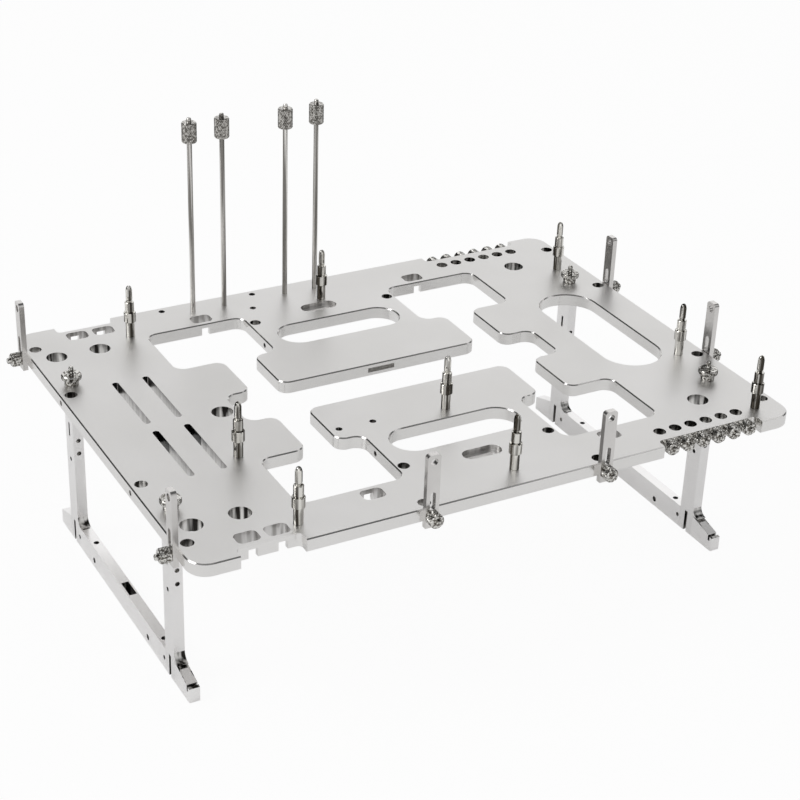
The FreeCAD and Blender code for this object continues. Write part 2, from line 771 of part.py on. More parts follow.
for name, x, y, (dx, dy), turn in bar_places():
    facing = FreeCAD.Rotation(V(0, 0, 1), math.degrees(math.atan2(dy, dx)))
    bar_y = "%s + %s" % (TRAY_Y, y)
    keep(place(side_bar(), x, bar_y, EDGE_MID, facing), "side_post_" + name)
    knob_x = "%s + %d * bar_thick" % (x, dx)
    knob_y = "%s + %d * bar_thick" % (bar_y, dy)
    keep(place(thumb_screw_for_bar(), knob_x, knob_y, EDGE_MID, turn), "side_post_screw_" + name)


# Card rods behind the board, with a knurled nut near the top of each one.
def card_rod():
    return drum("rod_diameter", "tray_thick + rod_above", "0", "0", "0")


def rod_nut():
    body = drum("nut_diameter", "nut_length", "0", "0", "0")
    return cut(body, [drum(ROD_BORE, "nut_length + 2 * cut_over", "0", "0", "0 - cut_over")])


for number, x in rod_places():
    rod_y = "%s + %s" % (TRAY_Y, ROD_Y)
    keep(place(card_rod(), x, rod_y, TRAY_UNDER), "card_rod_" + number)
    keep(place(rod_nut(), x, rod_y, "%s + rod_above - nut_below_tip - nut_length" % TRAY_TOP),
         "card_rod_nut_" + number)


# Spare thumb screws parked in the front and back edges.
for edge, side, turn in (("front", -1, ALONG_MINUS_Y), ("back", 1, ALONG_Y)):
    for index in range(SPARES_PER_SIDE):
        y = "%s + %s" % (TRAY_Y, signed(side, "(%s - spare_recess)" % HALF_Y))
        keep(place(thumb_screw_for_bar(), spare_x(index), y, EDGE_MID, turn),
             "spare_screw_%s_%d" % (edge, index + 1))

doc.recompute()

failed = [item.Label for item in doc.Objects if "Invalid" in item.State or "Error" in item.State]
if failed:
    sys.exit("these objects did not build: " + ", ".join(failed))
for name, item in parts:
    if item.Shape.isNull() or not item.Shape.isValid():
        sys.exit("bad shape: " + name)
    item.Shape.exportStep("parts/%s.step" % name)
    box = item.Shape.BoundBox
    print("%-28s %7.1f mm3, %d solid, z %.1f to %.1f"
          % (name, item.Shape.Volume, len(item.Shape.Solids), box.ZMin, box.ZMax))
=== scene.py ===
# %% [markdown]
# # An open air test bench
#
# A test bench holds the parts of a desktop computer in the open, so that they can be swapped by
# hand. This one is all metal: a thick aluminium tray with an H-shaped window, two low leg frames,
# and a crowd of small turned steel pieces. The solids come from a CAD model, and this lesson
# dresses them. The flat milled pieces keep their solids and get a finish. The turned pieces are
# made again with their knurls and threads, because those catch the light on the real thing.

# %% Load the frame
import math
import bpy
from mathutils import Matrix, Vector


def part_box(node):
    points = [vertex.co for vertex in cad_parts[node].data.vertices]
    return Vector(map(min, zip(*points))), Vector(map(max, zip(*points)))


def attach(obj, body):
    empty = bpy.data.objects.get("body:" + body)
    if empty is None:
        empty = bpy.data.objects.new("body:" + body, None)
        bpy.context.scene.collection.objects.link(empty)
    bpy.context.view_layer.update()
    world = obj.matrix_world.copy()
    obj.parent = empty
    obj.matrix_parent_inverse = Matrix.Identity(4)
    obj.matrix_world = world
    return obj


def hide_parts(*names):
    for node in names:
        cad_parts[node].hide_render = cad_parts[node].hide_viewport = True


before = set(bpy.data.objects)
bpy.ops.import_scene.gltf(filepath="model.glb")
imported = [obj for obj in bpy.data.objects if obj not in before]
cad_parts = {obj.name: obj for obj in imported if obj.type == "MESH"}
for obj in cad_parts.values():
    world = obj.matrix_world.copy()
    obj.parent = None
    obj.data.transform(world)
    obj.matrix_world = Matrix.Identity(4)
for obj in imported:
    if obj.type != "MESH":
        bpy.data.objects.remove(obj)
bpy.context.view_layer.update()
scene = bpy.context.scene
MM = 0.001

# %% [markdown]
# ## The camera
#
# The photo looks down on the bench from its front left corner. The camera was worked out from the
# nine standoffs, which stand on the standard hole grid of a desktop board, so its place, its
# direction and its lens are known. A small roll stays, because the photo has it too.

# %% Place the camera
LOOK = Vector((0.4315, 0.7666, -0.4756)).normalized()
STAND = Vector((-454.4, -810.02, 589.5)) * MM
ROLL = math.radians(2.13)
SENSOR_WIDTH, LENS, FARTHEST = 36.0, 83.2, 20.0
level_right = LOOK.cross(Vector((0, 0, 1))).normalized()
level_up = level_right.cross(LOOK)
right = level_right * math.cos(ROLL) + level_up * math.sin(ROLL)
up = level_up * math.cos(ROLL) - level_right * math.sin(ROLL)

camera_data = bpy.data.cameras.new("photo_camera")
camera_data.sensor_width = SENSOR_WIDTH
camera_data.lens = LENS
camera_data.clip_end = FARTHEST
camera = bpy.data.objects.new("photo_camera", camera_data)
turn = Matrix((right, up, -LOOK)).transposed().to_4x4()
camera.matrix_world = Matrix.Translation(STAND) @ turn
scene.collection.objects.link(camera)
scene.camera = camera
print("camera at", [round(v, 3) for v in camera.location], "lens", camera_data.lens)

# %% [markdown]
# ## Small helpers for shader nodes
#
# Each finish is a few nodes feeding one Principled shader. A helper that adds a node and sets its
# values keeps every finish short enough to read in one look.

# %% Node helpers
NOISE_LOW, NOISE_HIGH = 0.3, 0.7


def add(tree, kind, **values):
    """A new node with some of its settings changed."""
    node = tree.nodes.new(kind)
    for key, value in values.items():
        setattr(node, key, value)
    return node


def new_finish(name):
    """A full metal: one Principled shader and its output."""
    material = bpy.data.materials.new(name)
    material.use_nodes = True
    tree = material.node_tree
    tree.nodes.clear()
    shader = add(tree, "ShaderNodeBsdfPrincipled")
    shader.inputs["Metallic"].default_value = 1.0
    output = add(tree, "ShaderNodeOutputMaterial")
    tree.links.new(shader.outputs["BSDF"], output.inputs["Surface"])
    return material, tree, shader


def calc(tree, operation, *values):
    """One Math node; a plain number is set on its socket and anything else is linked."""
    node = add(tree, "ShaderNodeMath", operation=operation)
    for socket, value in zip(node.inputs, values):
        if isinstance(value, (int, float)):
            socket.default_value = value
        else:
            tree.links.new(value, socket)
    return node.outputs[0]


def spread(tree, value, low, high):
    """Carries noise, which seldom leaves 0.3 to 0.7, to the range low to high."""
    node = add(tree, "ShaderNodeMapRange")
    node.inputs["From Min"].default_value = NOISE_LOW
    node.inputs["From Max"].default_value = NOISE_HIGH
    node.inputs["To Min"].default_value = low
    node.inputs["To Max"].default_value = high
    tree.links.new(value, node.inputs["Value"])
    return node.outputs["Result"]


def grain(tree, scale, stretch=(1, 1, 1), detail=3.0):
    """Noise in the object's own metres, pulled out along an axis where stretch is small."""
    place = add(tree, "ShaderNodeTexCoord")
    pull = add(tree, "ShaderNodeMapping")
    pull.inputs["Scale"].default_value = stretch
    noise = add(tree, "ShaderNodeTexNoise")
    noise.inputs["Scale"].default_value = scale
    noise.inputs["Detail"].default_value = detail
    tree.links.new(place.outputs["Object"], pull.inputs["Vector"])
    tree.links.new(pull.outputs["Vector"], noise.inputs["Vector"])
    return noise.outputs["Fac"]


def tint(tree, value, dark, light, low=NOISE_LOW, high=NOISE_HIGH):
    """A colour that goes from dark to light as the value goes from low to high."""
    ramp = add(tree, "ShaderNodeValToRGB")
    ramp.color_ramp.elements[0].position = low
    ramp.color_ramp.elements[0].color = (*dark, 1)
    ramp.color_ramp.elements[1].position = high
    ramp.color_ramp.elements[1].color = (*light, 1)
    tree.links.new(value, ramp.inputs["Fac"])
    return ramp.outputs["Color"]


def rough_skin(tree, shader, value, strength, depth):
    """Bumps of the given depth, in metres, that follow the value."""
    bump = add(tree, "ShaderNodeBump")
    bump.inputs["Strength"].default_value = strength
    bump.inputs["Distance"].default_value = depth
    tree.links.new(value, bump.inputs["Height"])
    tree.links.new(bump.outputs["Normal"], shader.inputs["Normal"])


print("helpers ready")

# %% [markdown]
# ## The aluminium of the tray
#
# The tray is cut from thick sheet. Its two faces are bead blasted, which leaves a fine, even
# grain that blurs what it mirrors: the standoffs show in it as soft dark streaks. The walls of
# the window, the slots and the holes come straight from the cutter and stay much smoother. The
# way a face points tells the two apart, so one full metal covers both, rough where the surface
# lies flat and smooth where it stands upright.

# %% Finish: blasted aluminium
FLAT_FROM = 0.9
CUT_ROUGHNESS, BLASTED_ROUGHNESS = 0.20, (0.38, 0.46)
CLOUD_SCALE, BLAST_SCALE = 14.0, 2600.0
TRAY_DARK, TRAY_LIGHT = (0.81, 0.80, 0.785), (0.86, 0.85, 0.84)


def lying_flat(tree):
    """1 on faces that look up or down, 0 on upright walls."""
    place = add(tree, "ShaderNodeTexCoord")
    parts = add(tree, "ShaderNodeSeparateXYZ")
    tree.links.new(place.outputs["Normal"], parts.inputs[0])
    return calc(tree, "GREATER_THAN", calc(tree, "ABSOLUTE", parts.outputs["Z"]), FLAT_FROM)


def blasted_aluminium():
    material, tree, shader = new_finish("blasted_aluminium")
    cloud = grain(tree, CLOUD_SCALE)
    fine = grain(tree, BLAST_SCALE, detail=1.0)
    blasted = spread(tree, fine, *BLASTED_ROUGHNESS)
    extra = calc(tree, "MULTIPLY", calc(tree, "SUBTRACT", blasted, CUT_ROUGHNESS), lying_flat(tree))
    tree.links.new(tint(tree, cloud, TRAY_DARK, TRAY_LIGHT), shader.inputs["Base Color"])
    tree.links.new(calc(tree, "ADD", CUT_ROUGHNESS, extra), shader.inputs["Roughness"])
    rough_skin(tree, shader, fine, strength=0.12, depth=0.00004)
    return material


TRAY_METAL = blasted_aluminium()
print("finish:", TRAY_METAL.name)

# %% [markdown]
# ## The aluminium of the legs and side posts
#
# The legs and side posts are milled too, but keep the long fine lines of the cutter, and the side
# posts are a shade darker. Noise that is squeezed along two axes and left long along the third
# draws such lines, and a bump turns them into grooves.

# %% Finish: milled aluminium
LINE_SCALE, PATCH_SCALE = 900.0, 30.0
MILLED_ROUGHNESS = (0.22, 0.27)


def milled_aluminium(name, stretch, dark, light):
    material, tree, shader = new_finish(name)
    lines = grain(tree, LINE_SCALE, stretch, detail=2.0)
    patches = grain(tree, PATCH_SCALE)
    tree.links.new(tint(tree, patches, dark, light), shader.inputs["Base Color"])
    tree.links.new(spread(tree, lines, *MILLED_ROUGHNESS), shader.inputs["Roughness"])
    rough_skin(tree, shader, lines, strength=0.03, depth=0.00003)
    return material


POST_METAL = milled_aluminium("milled_upright", stretch=(1, 1, 0.03),
                              dark=(0.88, 0.87, 0.865), light=(0.94, 0.93, 0.925))
RAIL_METAL = milled_aluminium("milled_rail", stretch=(1, 0.03, 1),
                              dark=(0.93, 0.92, 0.915), light=(0.98, 0.97, 0.965))
BAR_METAL = milled_aluminium("milled_side_post", stretch=(1, 1, 0.05),
                             dark=(0.66, 0.645, 0.63), light=(0.78, 0.765, 0.75))
print("finishes:", POST_METAL.name, RAIL_METAL.name, BAR_METAL.name)

# %% [markdown]
# ## The steel of the turned pieces
#
# Standoffs, screws, rods and nuts come off a lathe, and the standoffs and screws are nickel
# plated. They are smoother and darker than the aluminium. Standoffs and rods are cut from drawn
# bar. Their colour carries painted reflection: noise that swings the colour of the metal widely,
# from near black to near white, paints on the light and dark that polished steel mirrors. It is
# pulled out along the length into streaks for the drawn pieces, and even in all directions into
# patches for the knurled ones.

# %% Finish: turned steel
ALONG, EVEN, ROUND = (1, 1, 0.02), (1, 1, 1), (0.2, 0.2, 1)
RING_SCALE = 1500.0
# The narrow span of noise over which the painted reflection goes from dark to light.
PAINTED_REFLECTION_FROM, PAINTED_REFLECTION_TO = 0.42, 0.58


def turned_steel(name, dark, light, roughness, stretch, scale):
    material, tree, shader = new_finish(name)
    # Painted reflection: light and dark streaks or patches in the colour stand in for what the
    # steel mirrors.
    painted_reflection = grain(tree, scale, stretch, detail=1.0)
    rings = grain(tree, RING_SCALE, ROUND, detail=2.0)
    colour = tint(tree, painted_reflection, dark, light, PAINTED_REFLECTION_FROM, PAINTED_REFLECTION_TO)
    tree.links.new(colour, shader.inputs["Base Color"])
    tree.links.new(spread(tree, rings, *roughness), shader.inputs["Roughness"])
    rough_skin(tree, shader, rings, strength=0.08, depth=0.00003)
    return material


STUD_METAL = turned_steel("nickel_standoff", dark=(0.06, 0.053, 0.043), light=(0.84, 0.825, 0.78),
                          roughness=(0.12, 0.18), stretch=ALONG, scale=420.0)
SCREW_METAL = turned_steel("nickel_thumb_screw", dark=(0.14, 0.13, 0.115), light=(0.77, 0.76, 0.73),
                           roughness=(0.12, 0.22), stretch=EVEN, scale=900.0)
ROD_METAL = turned_steel("steel_rod", dark=(0.22, 0.21, 0.195), light=(0.84, 0.82, 0.79),
                         roughness=(0.14, 0.22), stretch=ALONG, scale=520.0)
NUT_METAL = turned_steel("knurled_steel_nut", dark=(0.20, 0.19, 0.175), light=(0.66, 0.645, 0.615),
                         roughness=(0.12, 0.22), stretch=EVEN, scale=900.0)
print("finishes:", STUD_METAL.name, SCREW_METAL.name, ROD_METAL.name, NUT_METAL.name)

# %% [markdown]
# ## Dress the milled solids
#
# The tray, rails, leg posts and side posts already have their right shape in the solids. Each
# keeps its mesh and only changes what is in its material slots.

# %% Dress the tray, rails, legs and side posts
def dress(node, material):
    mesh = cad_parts[node].data
    mesh.materials.clear()
    mesh.materials.append(material)


dressed = 0
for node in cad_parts:
    if node == "tray_plate":
        dress(node, TRAY_METAL)
    elif node.endswith("foot_rail"):
        dress(node, RAIL_METAL)
    elif node.endswith("leg_post"):
        dress(node, POST_METAL)
    elif node.startswith("side_post_") and "screw" not in node:
        dress(node, BAR_METAL)
    else:
        continue
    dressed += 1
print("dressed", dressed, "milled solids")

# %% [markdown]
# ## The drilled holes and narrow slots
#
# The blasting doesn't reach the walls of the holes and slots, and their colour carries painted
# shade. Round holes are painted dark, with a few bright facets of painted reflection; slots and
# oblongs are a plain middle grey of painted shade. The two front slots of the long four are
# painted black shade over their rear 16 mm, and the two rear ones only at the very end. To find
# the holes, the upright faces that reach the tray's top are gathered into rings: two faces belong
# together when they share an upright edge. A ring as wide as it is long is a round hole, and a
# narrow one is a slot.

# %% Finish: walls with painted shade
FACET_SCALE, FACET_STRETCH, FACET_ROUGHNESS = 330.0, (1, 1, 0.1), 0.28
FACETS_FROM, FACETS_TO = 0.4, 0.6
BLACK = (0.012, 0.012, 0.012, 1)


def painted_shade_walls(name, dark, light):
    material, tree, shader = new_finish(name)
    # Painted shade: the wall is darker than the tray and runs from dark to light in facets,
    # standing in for shade and reflection inside the opening.
    facets = grain(tree, FACET_SCALE, FACET_STRETCH, detail=1.0)
    colour = tint(tree, facets, dark, light, FACETS_FROM, FACETS_TO)
    tree.links.new(colour, shader.inputs["Base Color"])
    shader.inputs["Roughness"].default_value = FACET_ROUGHNESS
    return material


def paint_black_shade(material, stretches):
    """Paints black shade into a finish between the given limits along Y, in millimetres."""
    tree = material.node_tree
    shader = next(node for node in tree.nodes if node.type == "BSDF_PRINCIPLED")
    metal = shader.inputs["Base Color"].links[0].from_socket
    place = add(tree, "ShaderNodeTexCoord")
    parts = add(tree, "ShaderNodeSeparateXYZ")
    tree.links.new(place.outputs["Object"], parts.inputs[0])
    inside = 0.0
    for low, high in stretches:
        above = calc(tree, "GREATER_THAN", parts.outputs["Y"], low * MM)
        below = calc(tree, "LESS_THAN", parts.outputs["Y"], high * MM)
        inside = calc(tree, "MAXIMUM", inside, calc(tree, "MULTIPLY", above, below))
    blend = add(tree, "ShaderNodeMix", data_type="RGBA")
    tree.links.new(inside, blend.inputs["Factor"])
    tree.links.new(metal, blend.inputs["A"])
    blend.inputs["B"].default_value = BLACK
    tree.links.new(blend.outputs["Result"], shader.inputs["Base Color"])


# Where along Y, in millimetres, painted black shade goes into the slots.
FRONT_SLOTS_PAINTED_SHADE, REAR_SLOTS_PAINTED_SHADE = (-15.5, 0.5), (60.2, 61.5)
BORE_PAINTED_SHADE = painted_shade_walls("drilled_bore", dark=(0.025, 0.023, 0.021), light=(0.78, 0.77, 0.75))
OBLONG_PAINTED_SHADE = painted_shade_walls("oblong_wall", dark=(0.38, 0.37, 0.36), light=(0.70, 0.69, 0.68))
SLOT_PAINTED_SHADE = painted_shade_walls("narrow_slot", dark=(0.52, 0.51, 0.50), light=(0.68, 0.67, 0.66))
paint_black_shade(SLOT_PAINTED_SHADE, [FRONT_SLOTS_PAINTED_SHADE, REAR_SLOTS_PAINTED_SHADE])
print("finishes:", BORE_PAINTED_SHADE.name, OBLONG_PAINTED_SHADE.name, SLOT_PAINTED_SHADE.name)

# %% Find the bores and slots
UPRIGHT = 0.02
NEAR_TOP = 1.2 * MM
WIDEST_SLOT, WIDEST_OBLONG, WIDEST_BORE, ROUND_ENOUGH = 5.0, 11.0, 13.0, 0.5
PLAIN, BORE, OBLONG, SLOT = range(4)


def rings_of_walls(mesh, reach):
    """The upright faces that reach a height, each with the columns of its ring."""
    parent = {}

    def leader(column):
        while parent[column] != column:
            column = parent[column]
        return column

    walls = {}
    for polygon in mesh.polygons:
        places = [mesh.vertices[index].co for index in polygon.vertices]
        if abs(polygon.normal.z) > UPRIGHT or max(place.z for place in places) < reach:
            continue
        columns = [tuple(round(v / MM, 2) for v in place.xy) for place in places]
        for column in columns:
            parent.setdefault(column, column)
        for column in columns[1:]:
            parent[leader(column)] = leader(columns[0])
        walls[polygon.index] = columns[0]
    rings = {}
    for column in parent:
        rings.setdefault(leader(column), []).append(column)
    return [(rings[leader(column)], index) for index, column in walls.items()]


def kind_of_ring(ring):
    """The material slot of the tray that a ring of walls belongs in."""
    spans = [max(column[axis] for column in ring) - min(column[axis] for column in ring)
             for axis in (0, 1)]
    width, length = sorted(spans)
    if length < WIDEST_BORE and length - width < ROUND_ENOUGH:
        return BORE
    if length > WIDEST_BORE and width < WIDEST_SLOT:
        return SLOT
    return OBLONG if width < WIDEST_OBLONG else PLAIN


tray_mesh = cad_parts["tray_plate"].data
# Three more slots on the tray, each holding painted shade for the walls of bores, oblongs and
# slots.
for metal in (BORE_PAINTED_SHADE, OBLONG_PAINTED_SHADE, SLOT_PAINTED_SHADE):
    tray_mesh.materials.append(metal)
tray_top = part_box("tray_plate")[1][2]
marked = [0, 0, 0, 0]
for ring, index in rings_of_walls(tray_mesh, tray_top - NEAR_TOP):
    kind = kind_of_ring(ring)
    tray_mesh.polygons[index].material_index = kind
    marked[kind] += 1
print("upright faces: outer", marked[PLAIN], "in bores", marked[BORE],
      "in oblongs", marked[OBLONG], "in slots", marked[SLOT])

# %% [markdown]
# ## Holes, pockets and slits in the legs
#
# The legs are straight-sided, so whatever lies inside a leg's own box is a hole, a pocket, a slit
# or the hollow of a heel. Those faces get the same painted shade as the holes in the tray.

# %% Paint shade into what is sunk into the legs
LARGEST_POCKET, LARGEST_FACET = 60 * MM * MM, 15 * MM * MM
ON_BOX, SQUARE_ON = 0.3 * MM, 0.999


def sunk_faces(mesh):
    """Small slanting facets, and small flat areas in a plane that isn't a side of the box."""
    low = [min(vertex.co[axis] for vertex in mesh.vertices) for axis in range(3)]
    high = [max(vertex.co[axis] for vertex in mesh.vertices) for axis in range(3)]
    planes, found = {}, []
    for polygon in mesh.polygons:
        axis = max(range(3), key=lambda side: abs(polygon.normal[side]))
        level = polygon.center[axis]
        on_box = min(abs(level - low[axis]), abs(level - high[axis])) < ON_BOX
        if abs(polygon.normal[axis]) > SQUARE_ON:
            if not on_box:
                plane = (axis, polygon.normal[axis] > 0, round(level / MM, 1))
                planes.setdefault(plane, []).append(polygon)
        elif polygon.area < LARGEST_FACET:
            found.append(polygon)
    for flat in planes.values():
        if sum(polygon.area for polygon in flat) < LARGEST_POCKET:
            found += flat
    return found


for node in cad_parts:
    if node.endswith("leg_post") or node.endswith("foot_rail"):
        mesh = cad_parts[node].data
        # Painted shade for the holes, pockets, slits and heel hollows of the legs.
        mesh.materials.append(BORE_PAINTED_SHADE)
        sunk = sunk_faces(mesh)
        for polygon in sunk:
            polygon.material_index = len(mesh.materials) - 1
        print(node, "- sunk faces:", len(sunk), "of", len(mesh.polygons))

# %% [markdown]
# ## Turning a profile
#
# Every lathe piece is a profile spun round an axis: a list of radii and heights, from the foot to
# the tip. A small chamfer at each shoulder gives the light an edge to catch, as on real turned
# steel. The ring of faces between two profile points is built directly, and a point on the axis
# becomes a single closed pole.

# %% Lathe helpers
def lathe(name, profile, sides=40):
    """Spins a profile of (radius, height) in millimetres round Z."""
    verts, rings = [], []
    for radius, height in profile:
        count = sides if radius else 1
        rings.append(range(len(verts), len(verts) + count))
        for k in range(count):
            angle = 2 * math.pi * k / sides
            spot = (radius * math.cos(angle), radius * math.sin(angle), height)
            verts.append(tuple(v * MM for v in spot))
    faces = []
    for lower, upper in zip(rings, rings[1:]):
        for k in range(sides):
            after = (k + 1) % sides
            if len(lower) == 1:
                faces.append((lower[0], upper[after], upper[k]))
            elif len(upper) == 1:
                faces.append((lower[k], lower[after], upper[0]))
            else:
                faces.append((lower[k], lower[after], upper[after], upper[k]))
    mesh = bpy.data.meshes.new(name)
    mesh.from_pydata(verts, [], faces)
    mesh.update()
    piece = bpy.data.objects.new(name, mesh)
    scene.collection.objects.link(piece)
    return piece


print("a lathe is ready")

# %% [markdown]
# ## Geometry Nodes helpers
#
# Knurls, threads and whole screws repeat many times. Geometry Nodes do that work: a tree takes a
# finished piece and its sizes, puts copies where they belong, and makes them real geometry with a
# material. The result is then taken over as a plain mesh, so that nothing live is left on the
# piece.

# %% Geometry Nodes helpers
def new_tree(name, inputs):
    """An empty geometry tree, its inputs named, with its entry and its way out."""
    tree = bpy.data.node_groups.new(name, "GeometryNodeTree")
    tree.interface.new_socket("Geometry", in_out="INPUT", socket_type="NodeSocketGeometry")
    for label, kind in inputs:
        tree.interface.new_socket(label, in_out="INPUT", socket_type="NodeSocket" + kind)
    tree.interface.new_socket("Geometry", in_out="OUTPUT", socket_type="NodeSocketGeometry")
    return tree, add(tree, "NodeGroupInput"), add(tree, "NodeGroupOutput")


def close_tree(tree, entry, leave, geometry):
    """Every tree ends the same way: real geometry, then its finish."""
    real = add(tree, "GeometryNodeRealizeInstances")
    finish = add(tree, "GeometryNodeSetMaterial")
    tree.links.new(geometry, real.inputs[0])
    tree.links.new(real.outputs[0], finish.inputs["Geometry"])
    tree.links.new(entry.outputs["Finish"], finish.inputs["Material"])
    tree.links.new(finish.outputs["Geometry"], leave.inputs[0])


def grow(piece, tree, **values):
    """Runs a tree on a piece and keeps the result as the piece's plain mesh."""
    modifier = piece.modifiers.new(tree.name, "NODES")
    modifier.node_group = tree
    for item in tree.interface.items_tree:
        if item.in_out == "INPUT" and item.name in values:
            modifier[item.identifier] = values[item.name]
    bpy.context.view_layer.update()
    ready = piece.evaluated_get(bpy.context.evaluated_depsgraph_get())
    mesh = bpy.data.meshes.new_from_object(ready)
    piece.modifiers.remove(modifier)
    old = piece.data
    piece.data = mesh
    bpy.data.meshes.remove(old)
    return piece


def smooth(piece, degrees=32):
    """Smooth shading, with an edge kept sharp where it turns by more than the given angle."""
    for polygon in piece.data.polygons:
        polygon.use_smooth = True
    piece.data.set_sharp_from_angle(angle=math.radians(degrees))


print("helpers for trees are ready")

# %% [markdown]
# ## The knurl
#
# A thumb screw is gripped by a knurl: two crossed sets of fine grooves that leave rows of small
# diamonds. The tree lays out points round a cylinder, every other row shifted by half a step,
# turns each point to face outwards, and sets one low four-sided pyramid on each.

# %% Knurl tree
def knurl_tree():
    tree, entry, leave = new_tree("knurl", [
        ("Diamond", "Object"), ("Radius", "Float"), ("Bottom", "Float"), ("Length", "Float"),
        ("Around", "Int"), ("Rows", "Int"), ("Finish", "Material")])
    index = add(tree, "GeometryNodeInputIndex").outputs[0]
    around, rows = entry.outputs["Around"], entry.outputs["Rows"]
    column = calc(tree, "MODULO", index, around)
    row = calc(tree, "FLOOR", calc(tree, "DIVIDE", index, around))
    odd_row = calc(tree, "MODULO", row, 2.0)
    shifted = calc(tree, "ADD", column, calc(tree, "MULTIPLY", odd_row, 0.5))
    angle = calc(tree, "MULTIPLY", shifted, calc(tree, "DIVIDE", 2 * math.pi, around))
    step = calc(tree, "DIVIDE", entry.outputs["Length"], rows)
    middle = calc(tree, "MULTIPLY", calc(tree, "ADD", row, 0.5), step)
    place = add(tree, "ShaderNodeCombineXYZ")
    for axis, wave in (("X", "COSINE"), ("Y", "SINE")):
        along = calc(tree, "MULTIPLY", entry.outputs["Radius"], calc(tree, wave, angle))
        tree.links.new(along, place.inputs[axis])
    tree.links.new(calc(tree, "ADD", entry.outputs["Bottom"], middle), place.inputs["Z"])
    facing = add(tree, "ShaderNodeCombineXYZ")
    tree.links.new(angle, facing.inputs["Z"])
    points = add(tree, "GeometryNodePoints")
    tree.links.new(calc(tree, "MULTIPLY", around, rows), points.inputs["Count"])
    tree.links.new(place.outputs[0], points.inputs["Position"])
    diamond = add(tree, "GeometryNodeObjectInfo")
    tree.links.new(entry.outputs["Diamond"], diamond.inputs["Object"])
    copies = add(tree, "GeometryNodeInstanceOnPoints")
    tree.links.new(points.outputs[0], copies.inputs["Points"])
    tree.links.new(diamond.outputs["Geometry"], copies.inputs["Instance"])
    tree.links.new(facing.outputs[0], copies.inputs["Rotation"])
    join = add(tree, "GeometryNodeJoinGeometry")
    tree.links.new(copies.outputs[0], join.inputs[0])
    tree.links.new(entry.outputs["Geometry"], join.inputs[0])
    close_tree(tree, entry, leave, join.outputs[0])
    return tree


KNURL = knurl_tree()
print("tree:", KNURL.name, "with", len(KNURL.nodes), "nodes")

# %% [markdown]
# ## The thread
#
# A thread is a ridge that winds round a shaft. The Spiral node draws its line, and Curve to Mesh
# sweeps a small four-sided section along it.

# %% Thread tree
FINE_PITCH = 0.5 * MM
RIDGE_SHARE = 0.42
POINTS_PER_TURN, SECTION_SIDES = 14, 4


def thread_tree():
    tree, entry, leave = new_tree("thread", [
        ("Radius", "Float"), ("Bottom", "Float"), ("Length", "Float"), ("Pitch", "Float"),
        ("Finish", "Material")])
    spiral = add(tree, "GeometryNodeCurveSpiral")
    spiral.inputs["Resolution"].default_value = POINTS_PER_TURN
    turns = calc(tree, "DIVIDE", entry.outputs["Length"], entry.outputs["Pitch"])
    tree.links.new(turns, spiral.inputs["Rotations"])
    for end in ("Start Radius", "End Radius"):
        tree.links.new(entry.outputs["Radius"], spiral.inputs[end])
    tree.links.new(entry.outputs["Length"], spiral.inputs["Height"])
    lift = add(tree, "ShaderNodeCombineXYZ")
    tree.links.new(entry.outputs["Bottom"], lift.inputs["Z"])
    raised = add(tree, "GeometryNodeTransform")
    tree.links.new(spiral.outputs[0], raised.inputs["Geometry"])
    tree.links.new(lift.outputs[0], raised.inputs["Translation"])
    section = add(tree, "GeometryNodeCurvePrimitiveCircle")
    section.inputs["Resolution"].default_value = SECTION_SIDES
    ridge = calc(tree, "MULTIPLY", entry.outputs["Pitch"], RIDGE_SHARE)
    tree.links.new(ridge, section.inputs["Radius"])
    sweep = add(tree, "GeometryNodeCurveToMesh")
    sweep.inputs["Fill Caps"].default_value = True
    tree.links.new(raised.outputs[0], sweep.inputs["Curve"])
    tree.links.new(section.outputs[0], sweep.inputs["Profile Curve"])
    join = add(tree, "GeometryNodeJoinGeometry")
    tree.links.new(sweep.outputs[0], join.inputs[0])
    tree.links.new(entry.outputs["Geometry"], join.inputs[0])
    close_tree(tree, entry, leave, join.outputs[0])
    return tree


THREAD = thread_tree()
print("tree:", THREAD.name, "with", len(THREAD.nodes), "nodes")

# %% [markdown]
# ## Setting pieces in their places
#
# The same screw is used at many places, lying or standing. A mesh that has only points, one for
# each place, carries a direction at every point as an attribute. The tree sets a copy of the
# finished screw on each point and turns it by that attribute.

# %% Placing tree
def placing_tree():
    tree, entry, leave = new_tree("set_in_place", [("Piece", "Object"), ("Finish", "Material")])
    piece = add(tree, "GeometryNodeObjectInfo")
    tree.links.new(entry.outputs["Piece"], piece.inputs["Object"])
    turn_by = add(tree, "GeometryNodeInputNamedAttribute", data_type="FLOAT_VECTOR")
    turn_by.inputs["Name"].default_value = "turn"
    copies = add(tree, "GeometryNodeInstanceOnPoints")
    tree.links.new(entry.outputs["Geometry"], copies.inputs["Points"])
    tree.links.new(piece.outputs["Geometry"], copies.inputs["Instance"])
    tree.links.new(turn_by.outputs["Attribute"], copies.inputs["Rotation"])
    close_tree(tree, entry, leave, copies.outputs[0])
    return tree


SET_IN_PLACE = placing_tree()


def set_all(name, master, places, finish, nodes):
    """Copies of master at each (point, turn); the result stands for the named solids."""
    mesh = bpy.data.meshes.new(name)
    mesh.from_pydata([tuple(point) for point, _ in places], [], [])
    mesh.attributes.new("turn", "FLOAT_VECTOR", "POINT")
    for item, (_, angles) in zip(mesh.attributes["turn"].data, places):
        item.vector = angles
    piece = bpy.data.objects.new(name, mesh)
    scene.collection.objects.link(piece)
    grow(piece, SET_IN_PLACE, Piece=master, Finish=finish)
    smooth(piece)
    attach(piece, "root")
    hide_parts(*nodes)
    print(name, "-", len(places), "copies,", len(piece.data.polygons), "faces")


def discard(*pieces):
    for piece in pieces:
        mesh = piece.data
        bpy.data.objects.remove(piece)
        bpy.data.meshes.remove(mesh)


def centre(node):
    low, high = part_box(node)
    return (Vector(low) + Vector(high)) / 2


